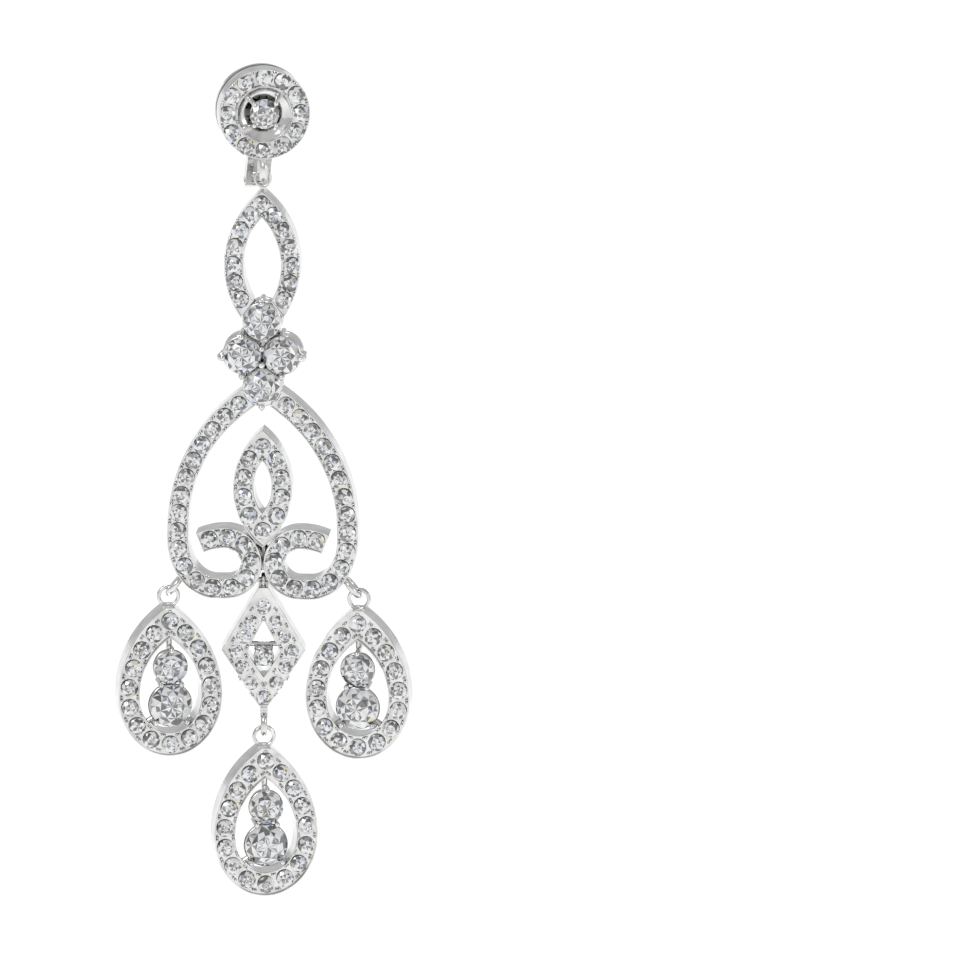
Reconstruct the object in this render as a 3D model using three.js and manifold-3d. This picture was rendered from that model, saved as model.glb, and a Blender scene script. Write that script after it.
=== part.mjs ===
// Chandelier earring, one of a pair: stud with an omega clip, a soldered drop, a kite and three pears.
// Millimetres, +Z up. The face looks along -Y. The origin is the root of the ear post on the stud's back.
import * as THREE from "three";
import { mergeVertices } from "three/addons/utils/BufferGeometryUtils.js";
import Module from "manifold-3d";

const wasm = await Module();
wasm.setup();

// ---- Driving dimensions ----------------------------------------------------------------------------
const PLATE_DEPTH = 2.3; // front to back of the drop's paved metal
const SEAT_GAP = 0.05; // clearance between a stone and its metal, and in the clip's hinge
const CLAW_RADIUS = 0.18;
const CLAW_LENGTH = 1.5;
const SEGMENTS = 32; // round a full circle

const STUD = { outer: 3.6, opening: 2.04, depth: 2.6, stone: 1.2, stoneFront: 2.42, clawRing: 1.44 };
const STUD_LOOP = { y: -1.3, z: -4.56, halfWidth: 0.6, halfHeight: 0.75, wire: 0.36 };
const POST = { radius: 0.45, length: 7.0 };
const CLIP = { pinY: 2.5, pinZ: -6.2, pinRadius: 0.22, knuckle: 0.59, halfWidth: 0.95, knuckleHalf: 0.4 };
const CLIP_WIRE = 0.42;

const PIVOT_Z = STUD_LOOP.z - STUD_LOOP.halfHeight; // middle of the wire that the drop swings on
const DROP_RING = { radius: 0.61, wire: 0.14, z: PIVOT_Z - 0.06 };
const PEAR_RING = { radius: 0.78, wire: 0.165 };
const LINK_WIRE = 0.27; // edge-on loops that carry the pears
const HANG = 0.28; // a pear ring's centre below the loop wire that carries it

const MARQUISE = { z: -12.17, outer: { half: 2.98, rise: 5.95 }, inner: { half: 1.49, rise: 3.86 } };
const PETAL = { z: -30.1, outer: { half: 2.32, rise: 4.74 }, inner: { half: 0.73, rise: 2.09 } };
const CLUSTER = { stone: 1.45, rim: 0.14, stoneFront: 1.4, plateFront: 1.08, plateBack: -1.0 };
const CLUSTER_STONES = [
  { name: "top", x: 0, z: -16.6 },
  { name: "left", x: -1.574, z: -19.33 },
  { name: "right", x: 1.574, z: -19.33 },
  { name: "bottom", x: 0, z: -21.9 },
];
const CLUSTER_CLAWS = [
  { x: 0, z: -14.92 },
  { x: -1.6, z: -17.66 },
  { x: 1.6, z: -17.66 },
  { x: -3.24, z: -19.5 },
  { x: 3.24, z: -19.5 },
  { x: 0, z: -18.84 },
  { x: 0, z: -19.92 },
  { x: -1.61, z: -20.99 },
  { x: 1.61, z: -20.99 },
  { x: 0, z: -23.58 },
];

// The arch's half: arm, corner, bottom, scroll and the scroll's short arm, as arcs of its middle line.
const ARCH = {
  halfWidth: 0.82,
  arm: { x: -6.09, z: -33.4, radius: 12.8, from: 57, to: 0 },
  corner: { x: 3.72, z: -34.2, across: 3.0, down: 3.96 },
  scroll: { x: 2.92, z: -36.12, radius: 2.04 },
  tongue: { radius: 5, sweep: 24 },
};
const LOOP_AT = { x: 7.54, z: -38.8, tilt: 51, reach: 1.7, halfWidth: 0.6 };

const KITE = {
  depth: 2.6,
  outer: [
    { x: 0.38, z: -38.0 },
    { x: 3.32, z: -43.05 },
    { x: 0.38, z: -47.6 },
  ],
  inner: [
    { x: 0, z: -40.65 },
    { x: 1.34, z: -43.2 },
    { x: 0, z: -45.25 },
  ],
  stone: { radius: 0.7, z: -43.6 },
  bailZ: -37.62,
  loopZ: -50.02,
};
const PEAR = {
  outer: { half: 4.13, side: 8.65, bottom: 4.86, tip: 0.39 },
  inner: { half: 2.48, side: 5.65, bottom: 2.98, tip: 0 },
  widestZ: -7.85,
  upper: { radius: 1.35, z: -5.5 },
  lower: { radius: 1.7, z: -8.59 },
  stoneFront: 1.25,
};
// The way each hanging part is turned about the vertical as it hangs, in degrees.
const TURN = { drop: -12, kite: 4, pearLeft: 13, pearRight: -3, pearLower: 13 };
const PEARS = [
  { name: "left", x: -LOOP_AT.x, z: LOOP_AT.z - HANG, turn: TURN.pearLeft },
  { name: "right", x: LOOP_AT.x, z: LOOP_AT.z - HANG, turn: TURN.pearRight },
  { name: "lower", x: 0, z: KITE.loopZ - HANG, turn: TURN.pearLower },
];

// ---- Materials -------------------------------------------------------------------------------------
const whiteGold = new THREE.MeshStandardMaterial({ color: "#d9d6d0", roughness: 0.15, metalness: 1 });
const diamond = new THREE.MeshStandardMaterial({ color: "#eef3f6", roughness: 0.02, metalness: 0 });

// ---- Solids ----------------------------------------------------------------------------------------
const radians = THREE.MathUtils.degToRad;
const axis = {
  x: new THREE.Vector3(1, 0, 0),
  y: new THREE.Vector3(0, 1, 0),
  z: new THREE.Vector3(0, 0, 1),
};

function solid(geometry) {
  const bare = geometry.clone();
  bare.deleteAttribute("normal");
  bare.deleteAttribute("uv");
  const merged = mergeVertices(bare, 1e-4);
  const vertProperties = merged.attributes.position.array;
  const triVerts = new Uint32Array(merged.index.array);
  return new wasm.Manifold(new wasm.Mesh({ numProp: 3, vertProperties, triVerts }));
}

const join = (parts) => parts.reduce((whole, part) => whole.add(part));

function geometryOf(body) {
  const { numProp, vertProperties, triVerts } = body.getMesh();
  const shared = new THREE.InterleavedBuffer(new Float32Array(vertProperties), numProp);
  const geometry = new THREE.BufferGeometry();
  geometry.setAttribute("position", new THREE.InterleavedBufferAttribute(shared, 3, 0));
  geometry.setIndex([...triVerts]);
  const flat = geometry.toNonIndexed();
  flat.computeVertexNormals();
  return flat;
}

function piece(name, body, material = whiteGold) {
  const mesh = new THREE.Mesh(geometryOf(body), material);
  mesh.name = name;
  return mesh;
}

// A plate drawn face-on in X and Z, from front to back along Y. Front and back count forwards from the middle.
function plate(outline, holes, front, back) {
  const shape = new THREE.Shape(outline);
  shape.holes = holes.map((hole) => new THREE.Path(hole));
  const geometry = new THREE.ExtrudeGeometry(shape, { depth: front - back, bevelEnabled: false });
  return solid(geometry.translate(0, 0, back).rotateX(Math.PI / 2));
}

function circle(x, z, radius, segments = SEGMENTS) {
  return arc(x, z, radius, radius, 0, 360, segments).slice(0, -1);
}

function arc(x, z, across, up, from, to, steps) {
  const points = [];
  for (let i = 0; i <= steps; i++) {
    const angle = radians(from + ((to - from) * i) / steps);
    points.push(new THREE.Vector2(x + across * Math.cos(angle), z + up * Math.sin(angle)));
  }
  return points;
}

const mirrored = (points) => points.map((p) => new THREE.Vector2(-p.x, p.y)).reverse();

// A closed ring of wire: face-on in X and Z, or edge-on (seen from the front) in Y and Z.
function wireRing(x, y, z, across, up, wire, edgeOn = false, tilt = 0) {
  const geometry = new THREE.TorusGeometry(1, wire, 8, 24);
  const place = geometry.attributes.position;
  for (let i = 0; i < place.count; i++) {
    const [px, py, pz] = [place.getX(i), place.getY(i), place.getZ(i)];
    const reach = Math.hypot(px, py);
    const [cx, cy] = [px / reach, py / reach];
    place.setXYZ(i, cx * (across + reach - 1), cy * (up + reach - 1), pz);
  }
  geometry.rotateX(Math.PI / 2);
  if (edgeOn) geometry.rotateZ(Math.PI / 2);
  return solid(geometry.rotateY(radians(tilt)).translate(x, y, z));
}

function rod(x, z, radius, front, back, sides = 10) {
  return plate(circle(x, z, radius, sides), [], front, back);
}

function crossRod(halfLength, radius, y, z, sides = 16) {
  const geometry = new THREE.CylinderGeometry(radius, radius, 2 * halfLength, sides);
  return solid(geometry.rotateZ(Math.PI / 2).translate(0, y, z));
}

function block(width, depth, height, x, y, z) {
  return solid(new THREE.BoxGeometry(width, depth, height).translate(x, y, z));
}

// A round brilliant with its table to the front: the girdle stands `front` ahead of the middle plane.
function brilliant(radius, front, x, z) {
  const profile = [
    { r: 0, h: -0.86 },
    { r: 1, h: -0.03 },
    { r: 1, h: 0.03 },
    { r: 0.56, h: 0.32 },
    { r: 0, h: 0.32 },
  ].map((p) => new THREE.Vector2(p.r * radius, p.h * radius));
  return solid(new THREE.LatheGeometry(profile, 16).rotateX(Math.PI).translate(x, -front, z));
}

// ---- Outlines --------------------------------------------------------------------------------------
// Two arcs that meet in a point above and below, for the marquise and the petal.
function lens({ half, rise }, z) {
  const radius = (half * half + rise * rise) / (2 * half);
  const sweep = THREE.MathUtils.radToDeg(Math.asin(rise / radius));
  const right = arc(half - radius, z, radius, radius, -sweep, sweep, 16);
  return [...right.slice(0, -1), ...mirrored(right).slice(0, -1)];
}

// A pear: a half ellipse below the widest line, and an arc up each side to the tip.
function pearOutline({ half, side, bottom, tip }) {
  const centre = half - side;
  const top = THREE.MathUtils.radToDeg(Math.acos((tip - centre) / side));
  const sideArc = arc(centre, PEAR.widestZ, side, side, 0, top, 14);
  const lower = arc(0, PEAR.widestZ, half, bottom, -90, 0, 12);
  const right = [...lower.slice(0, -1), ...sideArc];
  const left = mirrored(right);
  return [...right, ...left.slice(tip > 0 ? 0 : 1, -1)];
}

function archMiddle() {
  const { arm, corner, scroll, tongue } = ARCH;
  const top = scroll.z + scroll.radius;
  return [
    ...arc(arm.x, arm.z, arm.radius, arm.radius, arm.from, arm.to, 14),
    ...arc(corner.x, corner.z, corner.across, corner.down, 0, -90, 10),
    ...arc(scroll.x, scroll.z, scroll.radius, scroll.radius, -90, -270, 18),
    ...arc(scroll.x, top - tongue.radius, tongue.radius, tongue.radius, 90, 90 - tongue.sweep, 5).slice(1),
  ];
}

// The outline of a strip that follows a middle line at a constant width.
function strip(middle, halfWidth) {
  const points = middle.map((p) => new THREE.Vector3(p.x, p.y, 0));
  const curve = new THREE.CatmullRomCurve3(points, false, "centripetal");
  const steps = 60;
  const sides = [[], []];
  for (let i = 0; i <= steps; i++) {
    const at = curve.getPointAt(i / steps);
    const along = curve.getTangentAt(i / steps);
    sides[0].push(new THREE.Vector2(at.x + along.y * halfWidth, at.y - along.x * halfWidth));
    sides[1].push(new THREE.Vector2(at.x - along.y * halfWidth, at.y + along.x * halfWidth));
  }
  return [...sides[0], ...sides[1].reverse()];
}

// ---- Stud and clip ---------------------------------------------------------------------------------
function studHalo() {
  const { outer, opening, depth, clawRing, stoneFront } = STUD;
  const profile = [
    { r: 0, y: -1.2 },
    { r: 0.7, y: -1.3 },
    { r: 1.4, y: -1.75 },
    { r: opening, y: -2.3 },
    { r: opening, y: -depth },
    { r: outer, y: -depth },
    { r: outer, y: 0 },
    { r: 0, y: 0 },
  ].map((p) => new THREE.Vector2(p.r, p.y));
  const halo = solid(new THREE.LatheGeometry(profile, 48));
  const claws = [45, 135, 225, 315].map((angle) => {
    const [x, z] = [clawRing * Math.cos(radians(angle)), clawRing * Math.sin(radians(angle))];
    return rod(x, z, CLAW_RADIUS, stoneFront + 0.35, 1.6);
  });
  const { y, z, halfWidth, halfHeight, wire } = STUD_LOOP;
  const loop = wireRing(0, y, z, halfWidth, halfHeight, wire, true);
  return join([halo, ...claws, loop, hingeLug(-1), hingeLug(1)]).subtract(pinHole());
}

// One of the two lugs that carry the clip, from the stud's back down to the pin.
function hingeLug(side) {
  const { pinY, pinZ, knuckle, halfWidth, knuckleHalf } = CLIP;
  const [low, high] = [knuckleHalf + SEAT_GAP, halfWidth];
  const outline = [
    new THREE.Vector2(-0.3, -1.6),
    new THREE.Vector2(-0.3, -3.45),
    new THREE.Vector2(0, -3.55),
    ...arc(pinY, pinZ, knuckle, knuckle, 215, 395, 12),
  ];
  const shape = new THREE.Shape(outline);
  const lug = new THREE.ExtrudeGeometry(shape, { depth: high - low, bevelEnabled: false });
  // The shape's X runs along world Y, its Y along world Z, and its depth along world X.
  lug.applyMatrix4(new THREE.Matrix4().makeBasis(axis.y, axis.z, axis.x));
  return solid(lug.translate(side > 0 ? low : -high, 0, 0));
}

function pinHole() {
  return crossRod(CLIP.halfWidth + 1, CLIP.pinRadius + SEAT_GAP, CLIP.pinY, CLIP.pinZ);
}

function clipLoop() {
  const { pinY, pinZ, knuckle, knuckleHalf } = CLIP;
  const side = [
    { x: 0.1, y: 4.6, z: -4.1 },
    { x: 0.75, y: 4.95, z: -3.3 },
    { x: 1.7, y: 5.2, z: -2.1 },
    { x: 2.15, y: 5.2, z: -0.6 },
    { x: 1.75, y: 5.2, z: 1.1 },
  ];
  const right = side.map((p) => new THREE.Vector3(p.x, p.y, p.z));
  const left = side.map((p) => new THREE.Vector3(-p.x, p.y, p.z)).reverse();
  const path = new THREE.CatmullRomCurve3([...right, new THREE.Vector3(0, 5.15, 2.0), ...left]);
  const section = new THREE.Shape(circle(0, 0, CLIP_WIRE, 10));
  const wire = new THREE.ExtrudeGeometry(section, { steps: 44, extrudePath: path });
  const barrel = crossRod(knuckleHalf, knuckle, pinY, pinZ, 20);
  const tang = new THREE.BoxGeometry(2 * knuckleHalf, 3.1, 0.8).translate(0, 1.55, 0).rotateX(radians(46));
  return join([solid(wire), barrel, solid(tang.translate(0, pinY, pinZ))]).subtract(pinHole());
}

// ---- Drop ------------------------------------------------------------------------------------------
const FRONT = PLATE_DEPTH / 2;

function marquise() {
  const { z, outer, inner } = MARQUISE;
  const top = CLUSTER_STONES[0];
  const seat = rod(top.x, top.z, CLUSTER.stone + SEAT_GAP, FRONT + 1, -FRONT - 1, SEGMENTS);
  const clear = block(8, 6, 8, 0, 0, top.z - 4);
  const body = plate(lens(outer, z), [lens(inner, z)], FRONT, -FRONT);
  const neck = block(0.5, 0.8, 1.0, 0, 0, DROP_RING.z - DROP_RING.radius - 0.5);
  return body.subtract(seat).subtract(clear).add(neck);
}

function cluster() {
  const { stone, rim, plateFront, plateBack } = CLUSTER;
  const seats = CLUSTER_STONES.map((s) => rod(s.x, s.z, stone + rim, plateFront, plateBack, SEGMENTS));
  const bores = CLUSTER_STONES.map((s) => rod(s.x, s.z, stone * 0.76, plateFront + 1, plateBack - 1, 20));
  const core = block(2.4, plateFront - plateBack, 4.2, 0, -(plateFront + plateBack) / 2, -19.3);
  const claws = CLUSTER_CLAWS.map((c) => rod(c.x, c.z, CLAW_RADIUS, CLAW_LENGTH + 0.15, 0));
  return join([join([...seats, core]).subtract(join(bores)), ...claws]);
}

// Each arch half with the loop that carries a side pear, at 45 degrees off its lower corner.
function archHalf(side) {
  const half = strip(archMiddle(), ARCH.halfWidth);
  const body = plate(side > 0 ? half : mirrored(half), [], FRONT, -FRONT);
  const under = CLUSTER_STONES[3];
  const seat = rod(under.x, under.z, CLUSTER.stone + SEAT_GAP, FRONT + 1, -FRONT - 1, SEGMENTS);
  const { x, z, tilt, reach, halfWidth } = LOOP_AT;
  const along = reach / 2;
  const centreX = side * (x - along * Math.cos(radians(tilt)));
  const centreZ = z + along * Math.sin(radians(tilt));
  const loop = wireRing(centreX, 0, centreZ, halfWidth, along, LINK_WIRE, true, side * (tilt - 90));
  return body.subtract(seat).add(loop);
}

function dropFrame() {
  const petal = plate(lens(PETAL.outer, PETAL.z), [lens(PETAL.inner, PETAL.z)], FRONT, -FRONT);
  const seam = block(0.7, PLATE_DEPTH, 2.7, 0, 0, ARCH.scroll.z + 0.5);
  const bailBar = crossRod(0.9, 0.2, 0, KITE.bailZ, 10);
  const ring = wireRing(0, 0, DROP_RING.z, DROP_RING.radius, DROP_RING.radius, DROP_RING.wire);
  return join([marquise(), ring, cluster(), archHalf(-1), archHalf(1), petal, seam, bailBar]);
}

// ---- Kite and pears --------------------------------------------------------------------------------
function kiteFrame() {
  const { depth, outer, inner, stone, bailZ, loopZ } = KITE;
  const [front, back] = [depth / 2, -depth / 2];
  const points = (rows) => rows.map((p) => new THREE.Vector2(p.x, p.z));
  const window = [...points(inner), new THREE.Vector2(-inner[1].x, inner[1].z)].reverse();
  const body = plate([...points(outer), ...mirrored(points(outer))].reverse(), [window], front, back);
  const basket = rod(0, stone.z, stone.radius + 0.08, 0.95, -0.6, 20);
  const bore = rod(0, stone.z, stone.radius * 0.7, front + 1, back - 1, 16);
  const bar = block(3.2, 0.5, 0.45, 0, -0.3, stone.z + 0.2);
  const claws = [45, 135, 225, 315].map((angle) => {
    const reach = stone.radius + 0.19;
    return rod(reach * Math.cos(radians(angle)), stone.z + reach * Math.sin(radians(angle)), 0.14, 1.4, 0.2);
  });
  const bail = wireRing(0, 0, bailZ - 0.1, 0.5, 0.52, 0.19, true);
  const neckLow = block(0.6, 0.9, 1.2, 0, 0, -48.0);
  const loop = wireRing(0, 0, loopZ + 0.75, 0.6, 0.75, LINK_WIRE, true);
  return join([body, join([basket, bar]).subtract(bore), ...claws, bail, neckLow, loop]);
}

function pearFrame() {
  const { outer, inner, upper, lower, stoneFront } = PEAR;
  const halo = plate(pearOutline(outer), [pearOutline(inner)], FRONT, -FRONT);
  const ring = wireRing(0, 0, 0, PEAR_RING.radius, PEAR_RING.radius, PEAR_RING.wire);
  const neck = block(0.6, 0.9, 0.5, 0, 0, -1.0);
  const seats = [upper, lower].map(({ radius, z }) => {
    const front = stoneFront - 0.327 * radius - SEAT_GAP;
    const seat = rod(0, z, radius + CLAW_RADIUS / 2, front, front - 1.1, 24);
    return seat.subtract(rod(0, z, radius * 0.62, front + 1, front - 2, 20));
  });
  const span = upper.z - lower.z;
  const [toUpper, toLower] = [upper.radius + CLAW_RADIUS + SEAT_GAP, lower.radius + CLAW_RADIUS + SEAT_GAP];
  const drop = (span * span + toUpper * toUpper - toLower * toLower) / (2 * span);
  const out = Math.sqrt(toUpper * toUpper - drop * drop);
  const claws = [
    { x: 0, z: upper.z + toUpper },
    { x: -out, z: upper.z - drop },
    { x: out, z: upper.z - drop },
    { x: -0.75 * toLower, z: lower.z - 0.66 * toLower },
    { x: 0.75 * toLower, z: lower.z - 0.66 * toLower },
  ].map(({ x, z }) => rod(x, z, CLAW_RADIUS, CLAW_LENGTH, -0.2));
  const bridges = [
    block(0.45, 0.5, 1.6, 0, -0.1, upper.z + upper.radius + 0.5),
    ...[-1, 1].map((side) => {
      const arm = new THREE.BoxGeometry(1.7, 0.5, 0.45).rotateY(side * radians(35));
      return solid(arm.translate(side * 1.9, -0.1, lower.z - 1.35));
    }),
  ];
  return join([halo, ring, neck, ...seats, ...claws, ...bridges]);
}

// ---- Assembly --------------------------------------------------------------------------------------
const group = new THREE.Group();
group.name = "chandelier_earring";

group.add(piece("stud_halo", studHalo()));
group.add(piece("stud_stone", brilliant(STUD.stone, STUD.stoneFront, 0, 0), diamond));
group.add(piece("ear_post", rod(0, 0, POST.radius, -SEAT_GAP, -POST.length, 20)));
group.add(piece("clip_pin", crossRod(CLIP.halfWidth + 0.08, CLIP.pinRadius, CLIP.pinY, CLIP.pinZ, 12)));
group.add(piece("clip_loop", clipLoop()));

const drop = new THREE.Group();
drop.position.set(0, STUD_LOOP.y, 0);
drop.rotation.z = radians(TURN.drop);
group.add(drop);
drop.add(piece("drop_frame", dropFrame()));
for (const { name, x, z } of CLUSTER_STONES) {
  drop.add(piece(`cluster_stone_${name}`, brilliant(CLUSTER.stone, CLUSTER.stoneFront, x, z), diamond));
}

const kite = new THREE.Group();
kite.rotation.z = radians(TURN.kite);
drop.add(kite);
kite.add(piece("kite_frame", kiteFrame()));
kite.add(piece("kite_stone", brilliant(KITE.stone.radius, 1.25, 0, KITE.stone.z), diamond));

for (const { name, x, z, turn } of PEARS) {
  const pear = new THREE.Group();
  pear.position.set(x, 0, z);
  pear.rotation.z = radians(turn);
  drop.add(pear);
  pear.add(piece(`pear_${name}_frame`, pearFrame()));
  for (const place of ["upper", "lower"]) {
    const stone = brilliant(PEAR[place].radius, PEAR.stoneFront, 0, PEAR[place].z);
    pear.add(piece(`pear_${name}_stone_${place}`, stone, diamond));
  }
}

export default group;
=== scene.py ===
"""Looks of the chandelier earring: paved white-gold plates, cut stones, claws and rings, with the studio."""
import math
import random

import bpy
import numpy as np
from mathutils import Matrix, Vector
from mathutils.geometry import delaunay_2d_cdt


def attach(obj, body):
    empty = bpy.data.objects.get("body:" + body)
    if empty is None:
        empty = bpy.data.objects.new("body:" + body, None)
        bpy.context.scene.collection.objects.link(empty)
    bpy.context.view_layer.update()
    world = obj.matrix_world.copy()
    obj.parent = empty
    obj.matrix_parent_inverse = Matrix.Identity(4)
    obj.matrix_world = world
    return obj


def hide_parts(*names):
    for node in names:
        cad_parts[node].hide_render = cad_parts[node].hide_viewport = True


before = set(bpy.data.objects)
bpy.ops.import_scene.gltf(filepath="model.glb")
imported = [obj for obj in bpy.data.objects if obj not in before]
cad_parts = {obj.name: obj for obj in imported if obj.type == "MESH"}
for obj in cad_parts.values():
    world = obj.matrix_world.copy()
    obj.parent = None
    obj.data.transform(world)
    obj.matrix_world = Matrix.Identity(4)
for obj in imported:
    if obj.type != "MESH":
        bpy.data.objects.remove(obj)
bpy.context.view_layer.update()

# ---- Driving sizes, in millimetres as in the CAD source -------------------------------------------------
MM = 0.001
MELEE = 0.68  # radius of a small paved stone
GIRDLE_SINK = 0.06  # a paved stone's girdle lies this far behind the plate's rim
CHANNEL = 0.26  # the metal between the stones lies this far behind the rim
RIM = 0.09
SEAT = 0.6
AZURE = 0.42  # radius of the hole behind a paved stone
BEVEL = 0.05
BEAD = 0.135
BEAD_OUT = 0.62  # from the row's middle to a bead
DEPTH = 2.3
FRONT = DEPTH / 2
RING_SIDES = 14

STUD_LOOP = {"y": -1.3, "z": -4.56, "half": 0.6, "rise": 0.75, "wire": 0.36}
PIVOT_Z = STUD_LOOP["z"] - STUD_LOOP["rise"]
DROP_RING = {"radius": 0.61, "wire": 0.12, "z": PIVOT_Z - 0.06}  # thinner than the CAD by 0.02, to clear the loop
CLIP = {"y": 2.5, "z": -6.2, "pin": 0.22, "knuckle": 0.59, "half": 0.95, "knuckle_half": 0.4}
LOOP_AT = {"x": 7.54, "z": -38.8, "tilt": 51, "reach": 1.7, "half": 0.6, "wire": 0.27}
HANG = 0.28
KITE_LOOP_Z = -50.02
CLUSTER_R = 1.45
CLUSTER = {"top": (0, -16.6), "left": (-1.574, -19.33), "right": (1.574, -19.33), "bottom": (0, -21.9)}
CLUSTER_FRONT = 1.4
PEAR = {"widest": -7.85, "upper": (1.35, -5.5), "lower": (1.7, -8.59), "front": 1.25}
KITE_STONE = (0.7, -43.6)
TURN = {"drop": -12, "kite": -8, "left": 1, "right": -15, "lower": 1}

rng = random.Random(41)


# ---- Building meshes ------------------------------------------------------------------------------------
class Metal:
    """Gathers the metal of one piece, drawn face-on: x to the right, z up and f forwards, in millimetres."""

    def __init__(self, matrix):
        self.matrix = matrix
        self.points, self.faces, self.smooth = [], [], []

    def add(self, points, faces, smooth):
        start = len(self.points)
        self.points += [tuple(self.matrix @ Vector((x, -f, z))) for x, z, f in points]
        self.faces += [tuple(start + i for i in face) for face in faces]
        self.smooth += [smooth] * len(faces)

    def object(self, name, material, body, *nodes):
        mesh = bpy.data.meshes.new(name)
        mesh.from_pydata([Vector(p) * MM for p in self.points], [], self.faces)
        mesh.polygons.foreach_set("use_smooth", self.smooth)
        return finish_piece(name, mesh, material, body, nodes)


def finish_piece(name, mesh, material, body, nodes):
    mesh.materials.append(material)
    mesh.update()
    made = bpy.data.objects.new(name, mesh)
    bpy.context.collection.objects.link(made)
    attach(made, body)
    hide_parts(*nodes)
    return made


def turned(degrees, x=0.0, z=0.0):
    """The place of a hanging piece: in the drop's middle plane at x, z, and turned about the vertical."""
    drop = Matrix.Translation((0, STUD_LOOP["y"], 0)) @ Matrix.Rotation(math.radians(TURN["drop"]), 4, "Z")
    at = drop @ Vector((x, 0, z))
    return Matrix.Translation(at) @ Matrix.Rotation(math.radians(degrees), 4, "Z")


def arc(x, z, across, up, start, end, steps):
    angles = np.radians(np.linspace(start, end, steps + 1))
    return np.column_stack([x + across * np.cos(angles), z + up * np.sin(angles)])


def circle(x, z, radius, steps=24):
    return arc(x, z, radius, radius, 0, 360, steps)[:-1]


def mirrored(points):
    return (np.array(points) * (-1, 1))[::-1]


def inset(loop, amount):
    """The loop moved sideways by amount, to its left as it runs."""
    before, after = np.roll(loop, 1, axis=0), np.roll(loop, -1, axis=0)
    along_in = (loop - before) / np.linalg.norm(loop - before, axis=1)[:, None]
    along_out = (after - loop) / np.linalg.norm(after - loop, axis=1)[:, None]
    normal = np.column_stack([-(along_in + along_out)[:, 1], (along_in + along_out)[:, 0]])
    length = np.linalg.norm(normal, axis=1)[:, None]
    return loop + amount * normal / np.maximum(length, 1e-6) * np.minimum(2 / np.maximum(length, 1), 2)


def area(loop):
    x, z = loop[:, 0], loop[:, 1]
    return 0.5 * float(np.sum(x * np.roll(z, -1) - z * np.roll(x, -1)))


def plate(metal, loops, seats, front, back, seat_front=SEAT, seat_back=AZURE):
    """A plate with a thin rim, a sunk channel for the stones and a tapered hole behind each one."""
    loops = [np.array(l) if (area(np.array(l)) > 0) == (i == 0) else np.array(l)[::-1]
             for i, l in enumerate(loops)]
    floor = front - CHANNEL
    for side, level, radius, margin in ((1, floor, seat_front, RIM), (-1, back, seat_back, BEVEL)):
        edge_loops = [inset(l, margin) for l in loops] + [circle(x, z, radius)[::-1] for x, z in seats]
        points, edges = [], []
        for loop in edge_loops:
            first = len(points)
            points += [Vector(p) for p in loop]
            edges += [(first + i, first + (i + 1) % len(loop)) for i in range(len(loop))]
        found, _, faces, *_ = delaunay_2d_cdt(points, edges, [], 0, 1e-5)
        kept = [f for f in faces if inside(sum((found[i] for i in f), Vector((0, 0))) / 3, edge_loops)]
        metal.add([(p.x, p.y, level) for p in found], [f if side > 0 else f[::-1] for f in kept], False)
    for outer in loops:
        rim = [(inset(outer, RIM), floor), (inset(outer, RIM), front), (inset(outer, BEVEL / 2), front)]
        skirt(metal, rim + [(outer, front - BEVEL), (outer, back + BEVEL), (inset(outer, BEVEL), back)])
    for x, z in seats:
        skirt(metal, [(circle(x, z, seat_front)[::-1], floor), (circle(x, z, seat_back)[::-1], back)])


def inside(point, loops):
    crossings = 0
    for loop in loops:
        x, z = loop[:, 0], loop[:, 1]
        x2, z2 = np.roll(x, -1), np.roll(z, -1)
        spans = (z > point.y) != (z2 > point.y)
        at = x[spans] + (point.y - z[spans]) * (x2[spans] - x[spans]) / (z2[spans] - z[spans])
        crossings += int(np.sum(at > point.x))
    return crossings % 2 == 1


def skirt(metal, rows, smooth=False):
    """Walls that join a stack of loops, each given with its level."""
    count = len(rows[0][0])
    points = [(p[0], p[1], level) for loop, level in rows for p in loop]
    faces = []
    for row in range(len(rows) - 1):
        for i in range(count):
            j = (i + 1) % count
            a, b = row * count, (row + 1) * count
            faces.append((a + j, a + i, b + i, b + j))
    metal.add(points, faces, smooth)


def turned_solid(metal, x, z, profile, steps=32):
    """A solid of revolution about the forward axis. The profile runs from the front centre to the back."""
    rows = [(circle(x, z, max(r, 1e-4), steps), f) for r, f in profile]
    skirt(metal, rows, smooth=True)


def ball(metal, x, z, f, radius):
    steps = np.radians(np.linspace(90, -90, 9))
    turned_solid(metal, x, z, [(radius * math.cos(a), f + radius * math.sin(a)) for a in steps], 14)


def claw(metal, x, z, front, back, radius=0.2, towards=()):
    """A claw: a stem with a rounded tip that leans over the stones it holds."""
    reach = np.zeros(2)
    for sx, sz in towards:
        step = np.array((sx - x, sz - z))
        reach += step / np.linalg.norm(step)
    lean = reach / max(np.linalg.norm(reach), 1e-6) * 0.13 if len(towards) == 1 else reach * 0.03
    levels = [(0, back, 1.0), (0, front - 0.35, 1.0), (0.35, front - 0.12, 1.02), (1, front + 0.05, 1.0)]
    levels += [(1, front + 0.15, 0.8), (1, front + 0.2, 0.45), (1, front + 0.215, 0.01)]
    rows = [(circle(x + lean[0] * k, z + lean[1] * k, radius * size, 16), f) for k, f, size in levels]
    skirt(metal, rows[::-1], smooth=True)
    ball(metal, x + lean[0], z + lean[1], front + 0.08, radius * 1.12)


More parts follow.
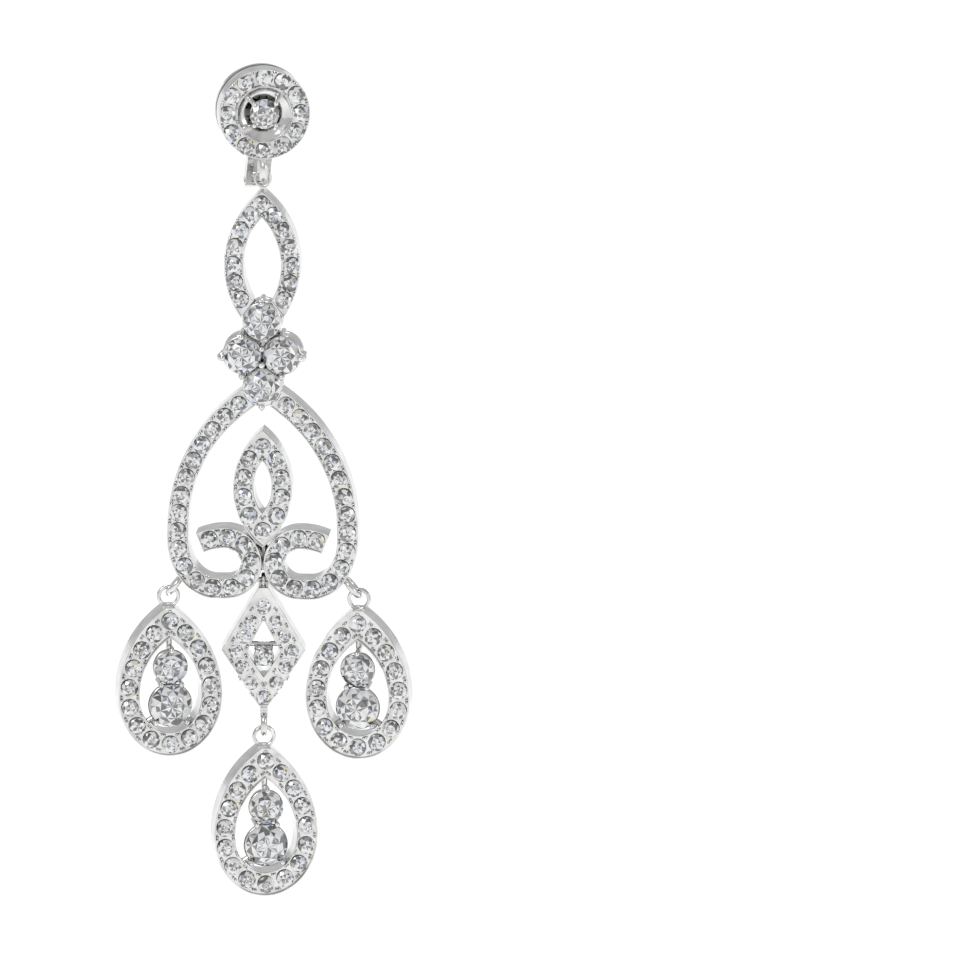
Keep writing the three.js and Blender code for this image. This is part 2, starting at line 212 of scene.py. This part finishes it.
def wire_ring(metal, x, f, z, across, up, wire, edge_on=False, tilt=0.0):
    """A closed ring of round wire: face-on, or edge-on and tilted in the face's plane."""
    points, faces = [], []
    steps, lean = 48, math.radians(tilt)
    for i in range(steps):
        a = 2 * math.pi * i / steps
        for j in range(RING_SIDES):
            b = 2 * math.pi * j / RING_SIDES
            u = math.cos(a) * (across + wire * math.cos(b))
            v = math.sin(a) * (up + wire * math.cos(b))
            w = wire * math.sin(b)
            if edge_on:
                dx = w * math.cos(lean) + v * math.sin(lean)
                dz = v * math.cos(lean) - w * math.sin(lean)
                points.append((x + dx, z + dz, f + u))
            else:
                points.append((x + u, z + v, f + w))
    for i in range(steps):
        for j in range(RING_SIDES):
            a, b = i * RING_SIDES, ((i + 1) % steps) * RING_SIDES
            k = (j + 1) % RING_SIDES
            face = (a + j, b + j, b + k, a + k)
            faces.append(face[::-1] if edge_on else face)
    metal.add(points, faces, True)


def bar(metal, start, end, radius, f, steps=16):
    """A round bar in the face's plane, from start to end."""
    start, end = np.array(start, float), np.array(end, float)
    along = (end - start) / np.linalg.norm(end - start)
    across = np.array((-along[1], along[0]))
    points, faces = [], []
    for x, z in (start, end):
        for i in range(steps):
            a = 2 * math.pi * i / steps
            side = across * radius * math.cos(a)
            points.append((x + side[0], z + side[1], f + radius * math.sin(a)))
    for i in range(steps):
        j = (i + 1) % steps
        faces.append((i, j, steps + j, steps + i))
    faces += [tuple(range(steps))[::-1], tuple(range(steps, 2 * steps))]
    metal.add(points, faces, False)


# ---- Stones ---------------------------------------------------------------------------------------------
GIRDLE, TABLE_R, TABLE_H, STAR_R, LOWER_R, CULET = 0.03, 0.56, 0.32, 0.77, 0.27, -0.86


def brilliant():
    """A round brilliant of radius 1 with its table towards +h, as points and facets."""
    eighth = math.cos(math.radians(22.5))
    star_h = GIRDLE + (1 - STAR_R * eighth) * (TABLE_H - GIRDLE) / (1 - TABLE_R)
    lower_h = -GIRDLE + (1 - LOWER_R * eighth) * (CULET + GIRDLE)
    rows = [(TABLE_R, TABLE_H, 8, 0), (STAR_R, star_h, 8, 22.5), (1, GIRDLE, 16, 0), (1, -GIRDLE, 16, 0),
            (LOWER_R, lower_h, 8, 22.5)]
    points = []
    for radius, height, count, first in rows:
        for i in range(count):
            a = math.radians(first + 360 * i / count)
            points.append((radius * math.cos(a), radius * math.sin(a), height))
    points.append((0, 0, CULET))
    table, star, top, low, half, culet = 0, 8, 16, 32, 48, 56
    points += [(0.26 * math.cos(a), 0.26 * math.sin(a), TABLE_H) for a in np.radians(np.arange(8) * 45 + 22.5)]
    points.append((0, 0, TABLE_H))
    faces = []
    for i in range(8):
        j, g = (i + 1) % 8, 2 * i
        before = (i - 1) % 8
        inner, inner_before = 57 + i, 57 + before
        faces.append((table + i, table + j, inner))
        faces.append((table + i, inner, 65))
        faces.append((table + i, 65, inner_before))
        faces.append((table + i, star + i, table + j))
        faces.append((table + i, star + before, top + g, star + i))
        faces.append((star + i, top + g, top + g + 1))
        faces.append((star + i, top + g + 1, top + (g + 2) % 16))
        faces.append((low + g, half + i, low + g + 1))
        faces.append((low + g + 1, half + i, low + (g + 2) % 16))
        faces.append((low + g, half + before, culet, half + i))
    faces += [(top + i, low + i, low + (i + 1) % 16, top + (i + 1) % 16) for i in range(16)]
    return np.array(points), faces


def split_facets(points, faces):
    """The same cut with each facet split about its middle, so the larger stones get a finer painted facet light."""
    points, parts = [tuple(p) for p in points], []
    for face in faces:
        points.append(tuple(np.mean([points[i] for i in face], axis=0)))
        parts += [(face[i - 1], face[i], len(points) - 1) for i in range(len(face))]
    return np.array(points), parts


CUT = brilliant()
FINE_CUT = split_facets(*CUT)


def painted_facet_light():
    """Painted light for one facet: a painted reflection from dark through grey to white, with a rare painted spark
    of coloured fire.
    """
    pick = rng.random()
    if pick < 0.32:
        value = rng.uniform(0.02, 0.12)
        return (value, value, value * 1.04, 1)
    if pick < 0.5:
        value = rng.uniform(0.22, 0.5)
        return (value, value, value * 1.03, 1)
    if pick < 0.53:
        return rng.choice([(0.95, 0.78, 0.45, 1), (0.55, 0.7, 0.95, 1), (0.8, 0.86, 1.0, 1)])
    value = rng.uniform(0.8, 1.0)
    return (value, value, value, 1)


def stones(name, matrix, rows, body, nodes=()):
    """Joined brilliants, one for each row of (x, z, girdle level, radius), each turned its own way."""
    points, faces, painted_lights = [], [], []
    for x, z, level, radius in rows:
        spin = Matrix.Rotation(rng.uniform(0, math.tau), 3, "Z")
        lean = Matrix.Rotation(math.radians(rng.uniform(-4, 4)), 3, "X")
        lean = lean @ Matrix.Rotation(math.radians(rng.uniform(-4, 4)), 3, "Y")
        start = len(points)
        cut_points, cut_faces = FINE_CUT if radius > 1 else CUT
        for p in cut_points:
            u, v, h = lean @ spin @ Vector(p) * radius
            points.append((matrix @ Vector((x + u, -(level + h), z + v))) * MM)
        faces += [tuple(start + i for i in face) for face in cut_faces]
        # Each facet gets its own painted light: painted reflections from dark to white and rare painted sparks of
        # fire.
        painted_lights += [painted_facet_light() for _ in cut_faces]
    mesh = bpy.data.meshes.new(name)
    mesh.from_pydata(points, [], faces)
    # The painted facet light is stored as a colour on each facet's corners.
    painted_light = mesh.attributes.new("painted_facet_light", "FLOAT_COLOR", "CORNER")
    for polygon in mesh.polygons:
        for corner in polygon.loop_indices:
            painted_light.data[corner].color = painted_lights[polygon.index]
    return finish_piece(name, mesh, DIAMOND, body, nodes)


def pave(metal, centres, front, closed, bead_out=BEAD_OUT):
    """Beads beside each gap between neighbouring stones, and the stones' own rows."""
    centres = np.array(centres, float)
    following = np.roll(centres, -1, axis=0)
    pairs = list(zip(centres, following))[: None if closed else -1]
    for here, there in pairs:
        middle = (here + there) / 2
        along = (there - here) / np.linalg.norm(there - here)
        side = np.array((-along[1], along[0]))
        for sign in (-1, 1):
            for split in (-0.11, 0.11):
                at = middle + side * sign * bead_out + along * split
                bead = [(0.01, front + 0.09), (0.06, front + 0.07), (BEAD * 0.75, front), (BEAD * 0.85, front - 0.3)]
                turned_solid(metal, at[0], at[1], bead, 10)
    return [(x, z, front - GIRDLE_SINK, MELEE) for x, z in centres]


# ---- Materials ------------------------------------------------------------------------------------------
def new_material(name):
    material = bpy.data.materials.new(name)
    material.use_nodes = True
    nodes, links = material.node_tree.nodes, material.node_tree.links
    return material, nodes, links, nodes["Principled BSDF"]


def noise(nodes, scale, detail):
    coordinates = nodes.new("ShaderNodeTexCoord")
    made = nodes.new("ShaderNodeTexNoise")
    made.inputs["Scale"].default_value = scale
    made.inputs["Detail"].default_value = detail
    made.id_data.links.new(coordinates.outputs["Object"], made.inputs["Vector"])
    return made


def mapped(nodes, source, low, high):
    made = nodes.new("ShaderNodeMapRange")
    made.inputs["From Min"].default_value = 0.3
    made.inputs["From Max"].default_value = 0.7
    made.inputs["To Min"].default_value = low
    made.inputs["To Max"].default_value = high
    made.id_data.links.new(source, made.inputs["Value"])
    return made.outputs["Result"]


def white_gold():
    material, nodes, links, shader = new_material("white_gold")
    shader.inputs["Metallic"].default_value = 1.0
    ramp = nodes.new("ShaderNodeValToRGB")
    ramp.color_ramp.elements[0].position = 0.35
    ramp.color_ramp.elements[0].color = (0.58, 0.575, 0.56, 1)
    ramp.color_ramp.elements[1].position = 0.65
    ramp.color_ramp.elements[1].color = (0.76, 0.755, 0.745, 1)
    links.new(noise(nodes, 900, 3).outputs["Fac"], ramp.inputs["Fac"])
    links.new(ramp.outputs["Color"], shader.inputs["Base Color"])
    links.new(mapped(nodes, noise(nodes, 1600, 4).outputs["Fac"], 0.09, 0.2), shader.inputs["Roughness"])
    bump = nodes.new("ShaderNodeBump")
    bump.inputs["Strength"].default_value = 0.12
    bump.inputs["Distance"].default_value = 0.00002
    links.new(noise(nodes, 4200, 2).outputs["Fac"], bump.inputs["Height"])
    links.new(bump.outputs["Normal"], shader.inputs["Normal"])
    return material


def diamond():
    material, nodes, links, shader = new_material("diamond")
    painted_light = nodes.new("ShaderNodeAttribute")
    painted_light.attribute_name = "painted_facet_light"
    # The stones' base colour is painted light: painted reflections, highlights and sparks of fire for each facet,
    # not a tint of the stone.
    links.new(painted_light.outputs["Color"], shader.inputs["Base Color"])
    shader.inputs["Roughness"].default_value = 0.03
    shader.inputs["IOR"].default_value = 2.417
    shader.inputs["Transmission Weight"].default_value = 0.22
    return material


WHITE_GOLD, DIAMOND = white_gold(), diamond()


# ---- Stud and clip --------------------------------------------------------------------------------------
def build_stud():
    metal = Metal(Matrix.Identity(4))
    angles = [math.radians(90 - 30 * i) for i in range(12)]
    centres = [(2.93 * math.cos(a), 2.93 * math.sin(a)) for a in angles]
    plate(metal, [circle(0, 0, 3.6, 96), circle(0, 0, 2.2, 72)], centres, 2.6, 0.8)
    stones("stud_pave", metal.matrix, pave(metal, centres, 2.6, True, 0.6), "stud")
    dish = [(0.01, 1.2), (0.5, 1.3), (0.9, 1.8), (1.3, 2.08), (1.7, 2.28), (2.06, 2.4), (2.12, 2.52), (2.2, 2.55)]
    turned_solid(metal, 0, 0, dish + [(2.2, 0.8)], 72)
    turned_solid(metal, 0, 0, [(3.35, 0.8), (3.35, 0.0), (0.01, 0.0)], 72)
    turned_solid(metal, 0, 0, [(3.59, 0.45), (3.6, 0.0), (3.3, 0.0)], 96)
    for angle in (45, 135, 225, 315):
        reach = 1.36
        x, z = reach * math.cos(math.radians(angle)), reach * math.sin(math.radians(angle))
        claw(metal, x, z, 2.62, 1.5, 0.19, [(0, 0)])
        ball(metal, x * 0.9, z * 0.9, 2.75, 0.21)
    loop = STUD_LOOP
    wire_ring(metal, 0, -loop["y"], loop["z"], loop["half"], loop["rise"], loop["wire"], True)
    for side in (-1, 1):
        hinge_lug(metal, side)
    metal.object("stud_metal", WHITE_GOLD, "stud", "stud_halo")
    stones("stud_centre", metal.matrix, [(0, 0, 2.42, 1.2)], "stud", ["stud_stone"])


def prism(metal, outline, low, high):
    """A prism along x. The outline is given as depth behind the face's zero and height."""
    count = len(outline)
    points = [(x, z, -y) for x in (low, high) for y, z in outline]
    faces = [(i, (i + 1) % count, count + (i + 1) % count, count + i) for i in range(count)]
    faces += [tuple(range(count))[::-1], tuple(range(count, 2 * count))]
    metal.add(points, faces, False)


def hinge_lug(metal, side):
    y, z, radius = CLIP["y"], CLIP["z"], CLIP["knuckle"]
    outline = [(-0.3, -1.6), (-0.3, -3.45), (0, -3.55), *arc(y, z, radius, radius, 215, 395, 20)]
    inner, outer = CLIP["knuckle_half"] + 0.05, CLIP["half"]
    low, high = (inner, outer) if side > 0 else (-outer, -inner)
    prism(metal, outline, low, high)


def cross_cylinder(metal, half, radius, y, z, steps=32):
    prism(metal, circle(y, z, radius, steps), -half, half)


def build_post_and_pin():
    post = Metal(Matrix.Identity(4))
    tip = [(0.01, -7.0), (0.25, -6.98), (0.4, -6.85), (0.45, -6.65)]
    groove = [(0.45, -6.1), (0.36, -6.0), (0.36, -5.8), (0.45, -5.7)]
    turned_solid(post, 0, 0, (tip + groove + [(0.45, -0.02), (0.01, -0.02)])[::-1], 28)
    post.object("post", WHITE_GOLD, "stud", "ear_post")
    pin = Metal(Matrix.Identity(4))
    cross_cylinder(pin, CLIP["half"] + 0.08, CLIP["pin"], CLIP["y"], CLIP["z"])
    pin.object("hinge_pin", WHITE_GOLD, "stud", "clip_pin")


def smooth_path(points, steps):
    """A Catmull-Rom line through the points."""
    points = [Vector(p) for p in points]
    ends = [2 * points[0] - points[1], *points, 2 * points[-1] - points[-2]]
    line = []
    for i in range(1, len(ends) - 2):
        a, b, c, d = ends[i - 1 : i + 3]
        for k in range(steps):
            t = k / steps
            line.append(0.5 * (2 * b + (c - a) * t + (2 * a - 5 * b + 4 * c - d) * t * t
                               + (3 * b - a - 3 * c + d) * t ** 3))
    return line + [points[-1]]


def tube(metal, line, radius):
    count, sides = len(line), 14
    points, faces = [], []
    normal = Vector((0, 1, 0))
    for i, at in enumerate(line):
        along = (line[min(i + 1, count - 1)] - line[max(i - 1, 0)]).normalized()
        normal = (normal - along * normal.dot(along)).normalized()
        other = along.cross(normal)
        for j in range(sides):
            b = 2 * math.pi * j / sides
            p = at + radius * (normal * math.cos(b) + other * math.sin(b))
            points.append((p.x, p.z, -p.y))
    for i in range(count - 1):
        for j in range(sides):
            a, b, k = i * sides, (i + 1) * sides, (j + 1) % sides
            faces.append((a + j, a + k, b + k, b + j))
    faces += [tuple(range(sides))[::-1], tuple(range((count - 1) * sides, count * sides))]
    metal.add(points, faces, True)


def build_clip():
    metal = Metal(Matrix.Identity(4))
    y, z = CLIP["y"], CLIP["z"]
    side = [(0.1, 4.6, -4.1), (0.75, 4.95, -3.3), (1.7, 5.2, -2.1), (2.15, 5.2, -0.6), (1.75, 5.2, 1.1)]
    left = [(-px, py, pz) for px, py, pz in reversed(side)]
    tube(metal, smooth_path([*side, (0, 5.15, 2.0), *left], 10), 0.42)
    cross_cylinder(metal, CLIP["knuckle_half"], CLIP["knuckle"], y, z)
    lean = math.radians(46)
    along, across = np.array((math.cos(lean), math.sin(lean))), np.array((-math.sin(lean), math.cos(lean)))
    corners = [(0, -0.4), (3.1, -0.4), (3.1, 0.4), (0, 0.4)]
    tang = [tuple(np.array((y, z)) + along * a + across * b) for a, b in corners]
    prism(metal, tang, -CLIP["knuckle_half"], CLIP["knuckle_half"])
    metal.object("clip", WHITE_GOLD, "clip", "clip_loop")


# ---- Drop -----------------------------------------------------------------------------------------------
def lens(half, rise, z, low=None):
    """One side of a lens, from its lower end up to its top point."""
    radius = (half * half + rise * rise) / (2 * half)
    sweep = math.degrees(math.asin(rise / radius))
    start = -sweep if low is None else math.degrees(math.asin((low - z) / radius))
    return arc(half - radius, z, radius, radius, start, sweep, 26)


def build_marquise(metal):
    z = -12.17
    outer, inner = lens(2.98, 5.95, z, -16.35), lens(1.49, 3.86, z, -15.06)
    outline = [*outer, *mirrored(outer)[1:], *mirrored(inner)[::-1][:-1], *inner[::-1]]
    run = arc(-4.3, z, 6.62, 6.62, 37.5, -24.5, 5)
    centres = [*run[::-1], (0, -7.25), *mirrored(run)[::-1]]
    plate(metal, [np.array(outline)], centres, FRONT, -FRONT)
    wire_ring(metal, 0, 0, DROP_RING["z"], DROP_RING["radius"], DROP_RING["radius"], DROP_RING["wire"])
    bar(metal, (0, -6.0), (0, -6.9), 0.28, 0)
    ball(metal, 0, -6.35, 0.35, 0.2)
    for side in (-1, 1):
        ball(metal, side * 0.22, -6.75, FRONT - 0.05, 0.13)
    return pave(metal, centres, FRONT, False)


def build_cluster(metal):
    for x, z in CLUSTER.values():
        gallery = [(1.02, 1.0), (1.4, 1.2), (1.55, 1.12), (1.59, 0.8), (1.4, 0.2), (1.4, -0.1)]
        gallery += [(1.59, -0.3), (1.59, -0.95), (1.5, -1.0), (0.9, -1.0), (0.85, 0.0), (1.02, 1.0)]
        turned_solid(metal, x, z, gallery, 40)
    towards = list(CLUSTER.values())
    top, left, right, bottom = towards
    rows = [(0, -14.98, [top]), (-1.6, -17.68, [left]), (1.6, -17.68, [right]), (-3.22, -19.5, [left]),
            (3.22, -19.5, [right]), (0, -18.75, [top, left, right]), (0, -20.05, [left, right, bottom]),
            (-1.61, -20.98, [left, bottom]), (1.61, -20.98, [right, bottom]), (0, -23.54, [bottom])]
    for x, z, held in rows:
        claw(metal, x, z, 1.55, -0.6, 0.23, held)
    for side in (-1, 1):
        ball(metal, side * 3.18, -19.45, 1.35, 0.36)
        bar(metal, (side * 1.7, -17.9), (side * 3.2, -19.4), 0.24, 0.7)
    for name, (x, z) in CLUSTER.items():
        stones(f"cluster_{name}", metal.matrix, [(x, z, CLUSTER_FRONT, CLUSTER_R)], "drop",
               [f"cluster_stone_{name}"])


def arch_middle():
    arm = arc(-6.09, -33.4, 12.8, 12.8, 56, 0, 30)
    corner = arc(3.72, -34.2, 3.0, 3.96, 0, -90, 22)
    scroll = arc(2.92, -36.12, 2.04, 2.04, -90, -270, 36)
    tongue = arc(2.92, -39.08, 5, 5, 90, 66, 8)[1:]
    return np.vstack([arm, corner, scroll, tongue])


def spaced(line, count, start, end):
    """Points at even steps along a line, from start to end millimetres short of its own ends."""
    lengths = np.concatenate([[0], np.cumsum(np.linalg.norm(np.diff(line, axis=0), axis=1))])
    wanted = np.linspace(start, lengths[-1] - end, count)
    return np.column_stack([np.interp(wanted, lengths, line[:, i]) for i in (0, 1)])


def strip(line, half):
    along = np.gradient(line, axis=0)
    along /= np.linalg.norm(along, axis=1)[:, None]
    side = np.column_stack([along[:, 1], -along[:, 0]]) * half
    return np.vstack([line + side, (line - side)[::-1]])


def build_arches(metal):
    rows = []
    for side in (-1, 1):
        line = arch_middle() * (side, 1)
        centres = spaced(line, 19, 1.0, 0.75)
        plate(metal, [strip(spaced(line, 110, 0, 0), 0.82)], centres, FRONT, -FRONT)
        rows += pave(metal, centres, FRONT, False, 0.64)
        tilt, along = math.radians(LOOP_AT["tilt"]), LOOP_AT["reach"] / 2
        x = side * (LOOP_AT["x"] - along * math.cos(tilt))
        z = LOOP_AT["z"] + along * math.sin(tilt)
        wire_ring(metal, x, 0, z, LOOP_AT["half"], along, LOOP_AT["wire"], True, side * (LOOP_AT["tilt"] - 90))
    bar(metal, (-0.9, -37.62), (0.9, -37.62), 0.2, 0)
    bar(metal, (0, -34.6), (0, -36.9), 0.3, -0.3)
    return rows


def build_petal(metal):
    outer, inner = lens(2.32, 4.74, -30.1), lens(0.73, 2.09, -29.95)
    loops = [[*half[:-1], *mirrored(half)[:-1]] for half in (outer, inner)]
    right = [(1.08, -27.75), (1.5, -29.25), (1.5, -30.8), (1.08, -32.3)]
    centres = [(0, -26.75), *right, (0, -33.5), *mirrored(right)]
    plate(metal, [np.array(l) for l in loops], centres, FRONT, -FRONT)
    return pave(metal, centres, FRONT, True)


def build_drop():
    metal = Metal(turned(TURN["drop"]))
    rows = [*build_marquise(metal), *build_arches(metal), *build_petal(metal)]
    build_cluster(metal)
    metal.object("drop_metal", WHITE_GOLD, "drop", "drop_frame")
    stones("drop_pave", metal.matrix, rows, "drop")


# ---- Kite and pears -------------------------------------------------------------------------------------
def build_kite():
    metal = Metal(turned(TURN["kite"]))
    outer = [(0.38, -38.0), (3.32, -43.05), (0.38, -47.6)]
    window = [(0, -40.65), (1.34, -43.2), (0, -45.25), (-1.34, -43.2)]
    loops = [np.vstack([outer, mirrored(outer)]), np.array(window)]
    right = [(0.98, -40.78), (1.56, -41.95), (2.2, -43.15), (1.72, -44.42), (1.0, -45.7)]
    centres = [(0, -39.6), *right, (0, -46.85), *mirrored(right)]
    front = 1.3
    plate(metal, loops, centres, front, -front, 0.6, 0.4)
    rows = [(x, z, level, 0.59) for x, z, level, _ in pave(metal, centres, front, True, 0.6)]
    radius, z = KITE_STONE
    cup = [(0.5, 1.0), (0.72, 1.12), (0.8, 1.0), (0.66, 0.0), (0.66, -0.6), (0.45, -0.6), (0.5, 1.0)]
    turned_solid(metal, 0, z, cup)
    bar(metal, (-1.5, z + 0.85), (1.5, z + 0.85), 0.2, 0.2)
    for angle in (45, 135, 225, 315):
        a = math.radians(angle)
        claw(metal, 0.84 * math.cos(a), z + 0.84 * math.sin(a), 1.32, 0.1, 0.15, [(0, z)])
    wire_ring(metal, 0, 0, -37.72, 0.5, 0.52, 0.19, True)
    bar(metal, (0, -47.3), (0, -48.75), 0.3, 0)
    ball(metal, 0, -47.85, 0.7, 0.24)
    wire_ring(metal, 0, 0, KITE_LOOP_Z + 0.75, 0.6, 0.75, LOOP_AT["wire"], True)
    metal.object("kite_metal", WHITE_GOLD, "drop", "kite_frame")
    stones("kite_pave", metal.matrix, rows, "drop")
    stones("kite_centre", metal.matrix, [(0, z, 1.25, radius)], "drop", ["kite_stone"])


def pear_side(half, side, bottom, tip):
    """The right side of a pear, from its lowest point up to its tip."""
    centre = half - side
    top = math.degrees(math.acos((tip - centre) / side))
    lower = arc(0, PEAR["widest"], half, bottom, -90, 0, 26)
    return np.vstack([lower[:-1], arc(centre, PEAR["widest"], side, side, 0, top, 26)])


def build_pear(name, x, z):
    metal = Metal(turned(TURN[name], x, z))
    outer, inner = pear_side(4.13, 8.65, 4.86, 0.39), pear_side(2.48, 5.65, 2.98, 0)
    loops = [np.vstack([outer, mirrored(outer)[:-1]]), np.vstack([inner, mirrored(inner)[1:-1]])]
    middle = pear_side(3.3, 7.15, 3.95, 0)
    right = spaced(middle, 9, 0, 0.0)
    centres = [*right, *mirrored(right)[1:-1]]
    plate(metal, loops, centres, FRONT, -FRONT)
    rows = pave(metal, centres, FRONT, True, 0.64)
    wire_ring(metal, 0, 0, 0, 0.78, 0.78, 0.165)
    bar(metal, (0, -0.72), (0, -1.4), 0.3, 0)
    ball(metal, 0, -1.1, 0.8, 0.2)
    held = {}
    for place in ("upper", "lower"):
        radius, height = PEAR[place]
        held[place] = (0, height)
        rim = PEAR["front"] - 0.2 * radius
        cup = [(0.72 * radius, rim), (radius * 0.98, rim + 0.1), (radius * 1.04, rim - 0.1),
               (radius * 0.8, -0.2), (radius * 0.8, -0.6), (radius * 0.55, -0.6), (0.72 * radius, rim)]
        turned_solid(metal, 0, height, cup, 40)
        stones(f"pear_{name}_{place}", metal.matrix, [(0, height, PEAR["front"], radius)], "drop",
               [f"pear_{name}_stone_{place}"])
    upper, lower = held["upper"], held["lower"]
    claw(metal, 0.06, -3.98, 1.5, -0.4, 0.2, [upper])
    for side in (-1, 1):
        claw(metal, side * 0.84, -6.85, 1.5, -0.4, 0.2, [upper, lower])
        claw(metal, side * 1.32, -10.0, 1.5, -0.4, 0.2, [lower])
        bar(metal, (side * 1.3, -9.75), (side * 2.5, -10.5), 0.24, 0.2)
    bar(metal, (0, -2.9), (0, -4.3), 0.24, 0.2)
    metal.object(f"pear_{name}_metal", WHITE_GOLD, "drop", f"pear_{name}_frame")
    stones(f"pear_{name}_pave", metal.matrix, rows, "drop")


build_stud()
build_post_and_pin()
build_clip()
build_drop()
build_kite()
build_pear("left", -LOOP_AT["x"], LOOP_AT["z"] - HANG)
build_pear("right", LOOP_AT["x"], LOOP_AT["z"] - HANG)
build_pear("lower", 0, KITE_LOOP_Z - HANG)


# ---- Studio ---------------------------------------------------------------------------------------------
FLOOR_DROP = 0.2  # how far the floor lies below the ear post
CAMERA = {"azimuth": -8, "elevation": 12.2, "distance": 1.7, "width": 0.0754}
AIM = {"right": 0.01724, "down": 0.02921}  # the view's centre, from the ear post's root


def studio_floor():
    size = 30
    mesh = bpy.data.meshes.new("floor")
    corners = [(-size, -size), (size, -size), (size, size), (-size, size)]
    mesh.from_pydata([(x, y, -FLOOR_DROP) for x, y in corners], [], [(0, 1, 2, 3)])
    material, nodes, links, shader = new_material("pale_floor")
    shader.inputs["Base Color"].default_value = (0.95, 0.95, 0.95, 1)
    shader.inputs["Roughness"].default_value = 0.9
    mesh.materials.append(material)
    floor = bpy.data.objects.new("floor", mesh)
    bpy.context.collection.objects.link(floor)


def light(name, kind, at, energy, size):
    data = bpy.data.lights.new(name, kind)
    data.energy = energy
    if kind == "SUN":
        data.angle = size
    else:
        data.size = size
    lamp = bpy.data.objects.new(name, data)
    lamp.location = at
    lamp.rotation_euler = (Vector((0, 0, -0.03)) - Vector(at)).to_track_quat("-Z", "Y").to_euler()
    bpy.context.collection.objects.link(lamp)


def studio_lights():
    light("sun", "SUN", (-0.2, 0.2, 1.0), 1.7, math.radians(14))
    light("key", "AREA", (-0.35, -0.45, 0.35), 0.7, 0.25)
    light("fill", "AREA", (0.45, -0.35, 0.1), 0.25, 0.2)
    light("rim", "AREA", (0.1, 0.4, 0.35), 0.4, 0.2)
    world = bpy.data.worlds.new("studio")
    world.use_nodes = True
    world.node_tree.nodes["Background"].inputs["Color"].default_value = (0.97, 0.98, 1.0, 1)
    world.node_tree.nodes["Background"].inputs["Strength"].default_value = 0.62
    bpy.context.scene.world = world


def studio_camera():
    azimuth, elevation = math.radians(CAMERA["azimuth"]), math.radians(CAMERA["elevation"])
    back = Vector((math.sin(azimuth) * math.cos(elevation), -math.cos(azimuth) * math.cos(elevation),
                   math.sin(elevation)))
    right = Vector((math.cos(azimuth), math.sin(azimuth), 0))
    up = back.cross(right)
    data = bpy.data.cameras.new("camera")
    data.lens = data.sensor_width * CAMERA["distance"] / CAMERA["width"]
    data.clip_start = 0.01
    data.clip_end = 200
    camera = bpy.data.objects.new("camera", data)
    aim = right * AIM["right"] - up * AIM["down"]
    camera.location = aim + back * CAMERA["distance"]
    camera.rotation_euler = back.to_track_quat("Z", "Y").to_euler()
    bpy.context.collection.objects.link(camera)
    bpy.context.scene.camera = camera


studio_floor()
studio_lights()
studio_camera()
bpy.context.scene.view_settings.view_transform = "Standard"
